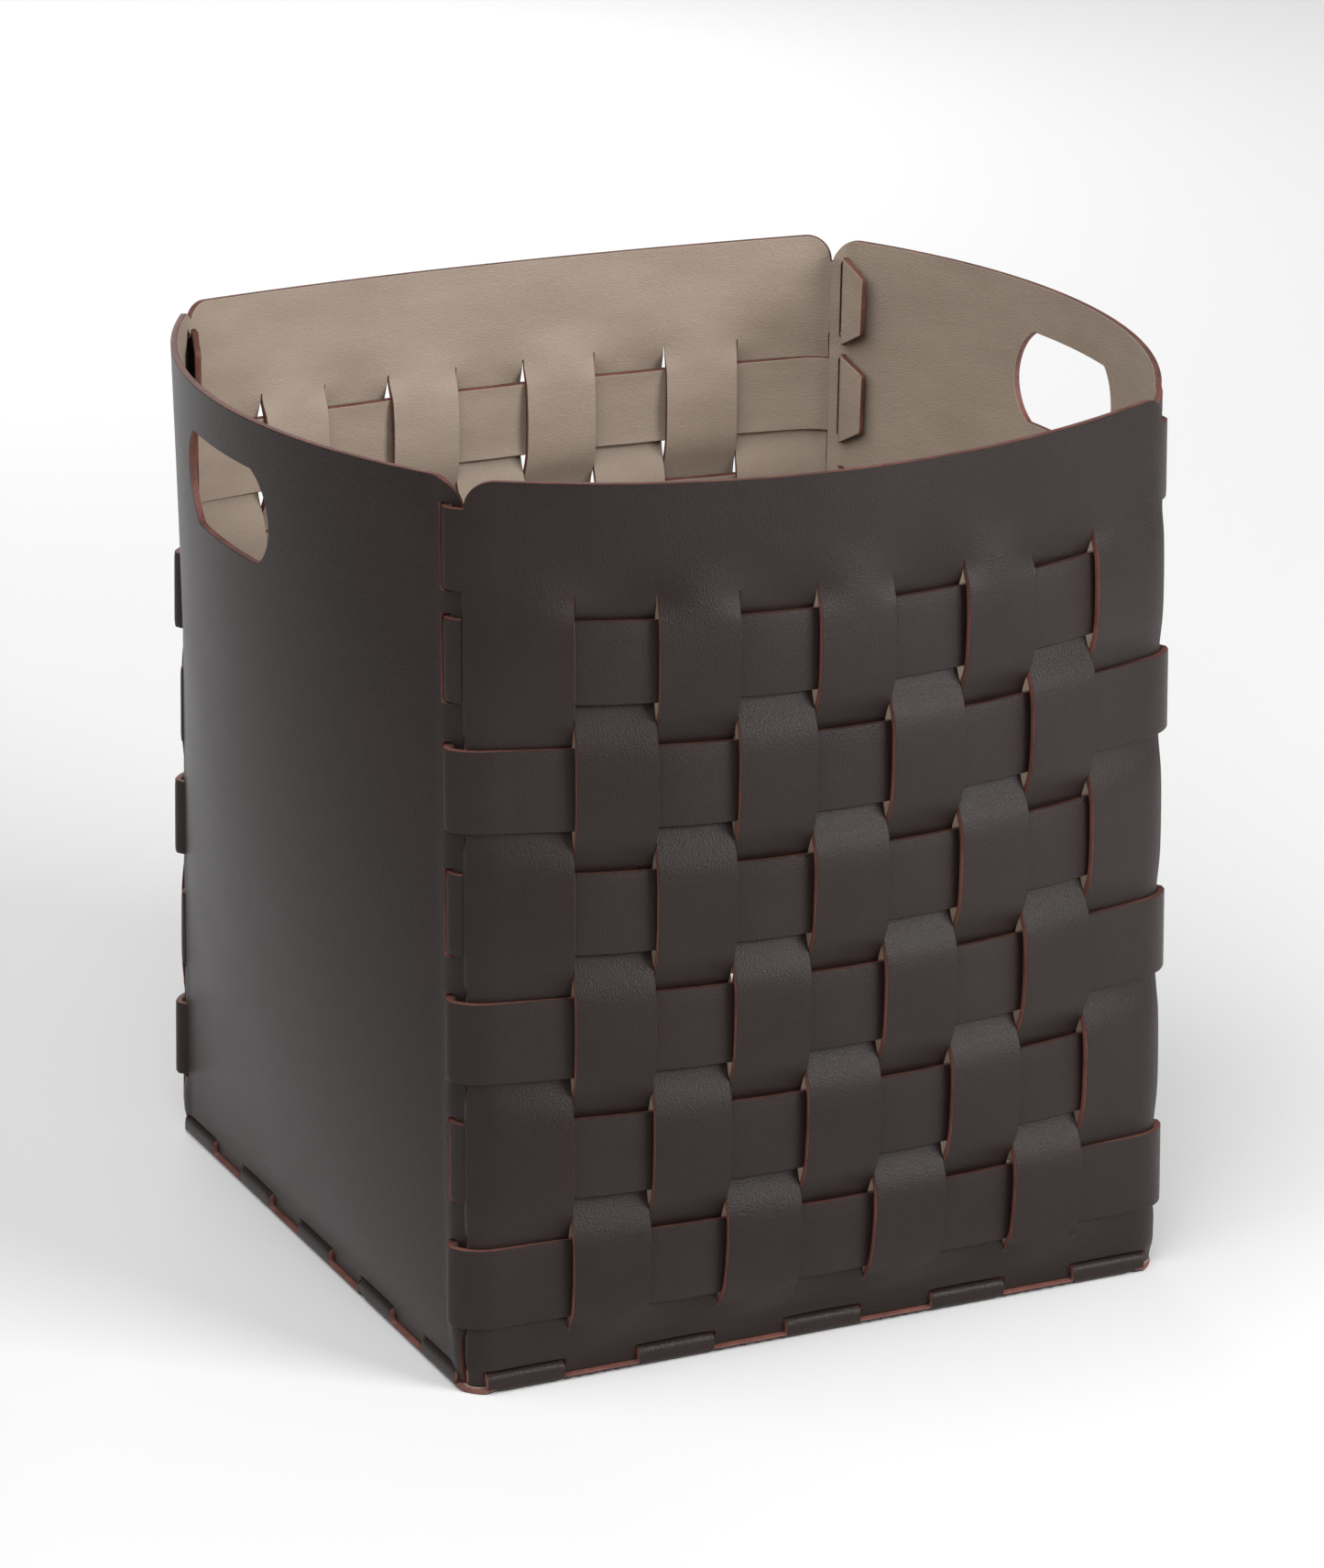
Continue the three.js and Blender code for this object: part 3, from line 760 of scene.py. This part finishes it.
def side_panel(name, node, turned):
    far = 2 * QUARTER - SIDE_EDGE
    r = SIDE_CORNER_RADIUS
    outline = loop_of(
        [
            (SIDE_EDGE, WALL_FOOT),
            (far, WALL_FOOT),
            *arc((far - r, HEIGHT - r), r, 0, math.pi / 2),
            *arc((SIDE_EDGE + r, HEIGHT - r), r, math.pi / 2, math.pi),
        ],
        OUTLINE_STEP,
    )
    loops = [outline, handle_outline()]
    for middle, width in [*((m, STRAP_WIDTH) for m in STRAP_MIDDLES), (TAB_MIDDLE, TOP_TAB_WIDTH)]:
        length = width + 2 * SLOT_LENGTH_SPARE
        for s in (SLOT_MIDDLE - SLOT_SET_OUT, 2 * QUARTER - SLOT_MIDDLE + SLOT_SET_OUT):
            loops.append(stadium((s, middle), SLOT_WIDTH, length, SLOT_CORNER_RADIUS))
    loops += base_slots(QUARTER, SIDE_HALF)
    near = lines_between(SIDE_EDGE + GRID_MARGIN, SLOT_MIDDLE + 8, 2.0)
    s_lines = np.concatenate([near, lines_between(SLOT_MIDDLE + 11, QUARTER, 4.2)])
    s_lines = np.unique(np.concatenate([s_lines, 2 * QUARTER - s_lines]))
    t_lines = lines_between(WALL_FOOT + GRID_MARGIN, HEIGHT - GRID_MARGIN, 3.6)

    def place(flat):
        s, z = flat[:, 0], flat[:, 1]
        edge = smooth(1 - (s - SIDE_EDGE) / CORNER_GAP_WIDTH)
        far_edge = smooth(1 - (2 * QUARTER - SIDE_EDGE - s) / CORNER_GAP_WIDTH)
        closing = CORNER_CLOSING * smooth((CORNER_CLOSING_HEIGHT - z) / CORNER_CLOSING_HEIGHT)
        foot = smooth((CORNER_GAP_TOP - z) / CORNER_GAP_FADE) * (1 - closing)
        along = s + CORNER_GAP * foot * (edge - far_edge)
        from_slots = np.minimum(np.abs(s - SLOT_MIDDLE), np.abs(2 * QUARTER - SLOT_MIDDLE - s))
        crease = CREASE_HEIGHT * np.exp(-((from_slots / CREASE_WIDTH) ** 2)) * (1 - foot)
        curl = CORNER_CURL * foot * (edge + far_edge)
        return wall(along, z, curl + crease - LAP - foot_push(z))

    piece = leather(name, loops, (s_lines, t_lines), place, (face, lining, cut_edge), turned)
    finish(piece, node)


def base():
    half = (FOOT_HALF_X + HALF, FOOT_HALF_Y + HALF)
    walls = (FOOT_HALF_X, FOOT_HALF_Y)
    paths = []
    for w in walls:
        start = w - BASE_FLAT_MARGIN
        outside = w + BASE_TAB_STANDOFF - FOOT_PUSHED_IN
        within = w - BASE_TAB_STANDOFF - FOOT_PUSHED_IN / 2
        corners = [
            (start, HALF),
            (outside, HALF),
            (outside, BASE_TAB_LEVEL),
            (within, BASE_TAB_LEVEL),
            (within - BASE_TAB_LEAN, BASE_TAB_LEVEL + BASE_TAB_RISE),
        ]
        paths.append((start, rounded_path(corners, [BASE_TAB_BEND] * 3)))
    reach = [start + path[0][-1] for start, path in paths]

    def side_points(across, edge, end):
        """Tabs along one side, as distances along it and out from the middle."""
        points = []
        width = BASE_TAB_WIDTH / 2
        for place in tab_places(across):
            shoulder = end - BASE_SHOULDER
            flare = [
                (-width, edge),
                (-width, shoulder),
                (-width - BASE_SHOULDER_FLARE, shoulder + SHOULDER_SLANT),
                (BASE_TIP_TAPER - width, end),
            ]
            points += [(place + s, d) for s, d in flare]
            points += [(place - s, d) for s, d in reversed(flare)]
        return points

    r = BASE_CORNER_RADIUS
    outline = []
    for turn in range(4):
        across, out = (0, 1) if turn % 2 == 0 else (1, 0)
        length = FRONT_HALF if turn % 2 == 0 else SIDE_HALF
        angle = turn * math.pi / 2
        local = side_points(length, half[out], reach[out])
        corner_centre = (half[across] - r, half[out] - r)
        corner = arc(corner_centre, r, -math.pi / 2, 0)
        corner = [(s, 2 * corner_centre[1] - d) for s, d in corner]
        points = [(s, -d) for s, d in local + corner]
        cosine, sine = math.cos(angle), math.sin(angle)
        outline += [(cosine * x - sine * y, sine * x + cosine * y) for x, y in points]
    loop = loop_of(outline, OUTLINE_STEP)

    def axis_lines(k):
        fine = lines_between(walls[k] - 2, reach[k], FOLD_SPACING)
        coarse = lines_between(0, walls[k] - 4, 6.0)
        both = np.concatenate([coarse, fine])
        return np.unique(np.concatenate([-both, both]))

    def place(flat):
        x, y = flat[:, 0].copy(), flat[:, 1].copy()
        z = np.full(len(flat), HALF)
        for k, values in ((0, x), (1, y)):
            start, path = paths[k]
            beyond = np.abs(values) - start
            out, height = follow(path, np.clip(beyond, 0, None))
            folded = beyond > 0
            values[:] = np.where(folded, np.sign(values) * out, values)
            z = np.where(folded, np.maximum(z, height), z)
        return np.stack([x, y, z], axis=-1)

    lines = (axis_lines(0), axis_lines(1))
    # The underside, which shows on the tabs, is the leather painted lighter to stand in for light.
    piece = leather("base_sheet", [loop], lines, place, (lining, face_painted_lighter, cut_edge))
    finish(piece, "base")


base()
random = np.random.default_rng(7)
for side, turned in (("front", False), ("back", True)):
    woven_panel(f"woven_panel_{side}_cut", f"woven_panel_{side}", turned)
    for number in range(1, STRAP_COUNT + 1):
        lean = math.radians(random.uniform(*STRAP_LEANS))
        strap(f"{side}_strap_{number}_cut", f"{side}_strap_{number}", number, turned, lean)
side_panel("side_panel_right_cut", "side_panel_right", False)
side_panel("side_panel_left_cut", "side_panel_left", True)


# ---------------------------------------------------------------- camera, floor and light

CAMERA_POSITION = Vector((-1.1162, -2.3471, 1.0860))
CAMERA_TURN = 0.44455  # radians, from straight ahead towards the right
CAMERA_PITCH = 0.32896  # radians, downwards
CAMERA_ROLL = 0.0074
CAMERA_SENSOR = 36
CAMERA_LENS = 140.7051
FLOOR_HALF = 9.0
FLOOR_COLOUR = (0.93, 0.93, 0.93, 1)
STAGE_MIDDLE = Vector((0, 0, 0.2))
WORLD_STRENGTH = 0.1
SUN_STRENGTH = 2.0
SUN_SPREAD = 75  # degrees, so that its shadows are soft
SUN_TILT = (12, -35)  # degrees about X and Y


def make_camera():
    """The camera looks down at the bin from the front left, with a long lens."""
    level = math.cos(CAMERA_PITCH)
    forward = Vector(
        (math.sin(CAMERA_TURN) * level, math.cos(CAMERA_TURN) * level, -math.sin(CAMERA_PITCH))
    )
    right = Vector((math.cos(CAMERA_TURN), -math.sin(CAMERA_TURN), 0))
    up = right.cross(forward)
    across = math.cos(CAMERA_ROLL) * right + math.sin(CAMERA_ROLL) * up
    upward = -math.sin(CAMERA_ROLL) * right + math.cos(CAMERA_ROLL) * up
    position = CAMERA_POSITION
    data = bpy.data.cameras.new("camera")
    data.sensor_width = CAMERA_SENSOR
    data.lens = CAMERA_LENS
    data.clip_end = 50
    camera = bpy.data.objects.new("camera", data)
    bpy.context.scene.collection.objects.link(camera)
    camera.matrix_world = Matrix(
        (
            (across.x, upward.x, -forward.x, position.x),
            (across.y, upward.y, -forward.y, position.y),
            (across.z, upward.z, -forward.z, position.z),
            (0, 0, 0, 1),
        )
    )
    bpy.context.scene.camera = camera


def make_floor():
    signs = [(-1, -1), (1, -1), (1, 1), (-1, 1)]
    corners = [(x * FLOOR_HALF, y * FLOOR_HALF, 0) for x, y in signs]
    mesh = bpy.data.meshes.new("floor")
    mesh.from_pydata(corners, [], [(0, 1, 2, 3)])
    material, _, _, shader = new_material("pale_floor")
    shader.inputs["Base Color"].default_value = FLOOR_COLOUR
    shader.inputs["Roughness"].default_value = 0.9
    shader.inputs["Specular IOR Level"].default_value = 0.1
    mesh.materials.append(material)
    floor = bpy.data.objects.new("floor", mesh)
    bpy.context.scene.collection.objects.link(floor)


def area_light(name, azimuth, elevation, distance, size, power):
    """A soft box aimed at the bin's middle. Azimuth 0 is in front and 90 to the right."""
    a, e = math.radians(azimuth), math.radians(elevation)
    data = bpy.data.lights.new(name, "AREA")
    data.shape = "RECTANGLE"
    data.size, data.size_y = size
    data.energy = power
    light = bpy.data.objects.new(name, data)
    bpy.context.scene.collection.objects.link(light)
    direction = Vector((math.sin(a) * math.cos(e), -math.cos(a) * math.cos(e), math.sin(e)))
    light.location = STAGE_MIDDLE + distance * direction
    light.rotation_euler = (-direction).to_track_quat("-Z", "Y").to_euler()


def make_light():
    world = bpy.data.worlds.new("studio")
    bpy.context.scene.world = world
    world.use_nodes = True
    background = world.node_tree.nodes["Background"]
    background.inputs["Color"].default_value = (1, 1, 1, 1)
    background.inputs["Strength"].default_value = WORLD_STRENGTH
    area_light("key_right", azimuth=33, elevation=22, distance=2.5, size=(1.2, 0.9), power=50)
    area_light("fill_left", azimuth=-30, elevation=40, distance=2.5, size=(0.9, 0.9), power=8)
    area_light("back", azimuth=172, elevation=18, distance=2.8, size=(1.4, 1.0), power=18)
    sun = bpy.data.lights.new("overhead", "SUN")
    sun.energy = SUN_STRENGTH
    sun.angle = math.radians(SUN_SPREAD)
    overhead = bpy.data.objects.new("overhead", sun)
    overhead.rotation_euler = (*(math.radians(tilt) for tilt in SUN_TILT), 0)
    bpy.context.scene.collection.objects.link(overhead)
    bpy.context.scene.view_settings.view_transform = "Standard"


make_camera()
make_floor()
make_light()
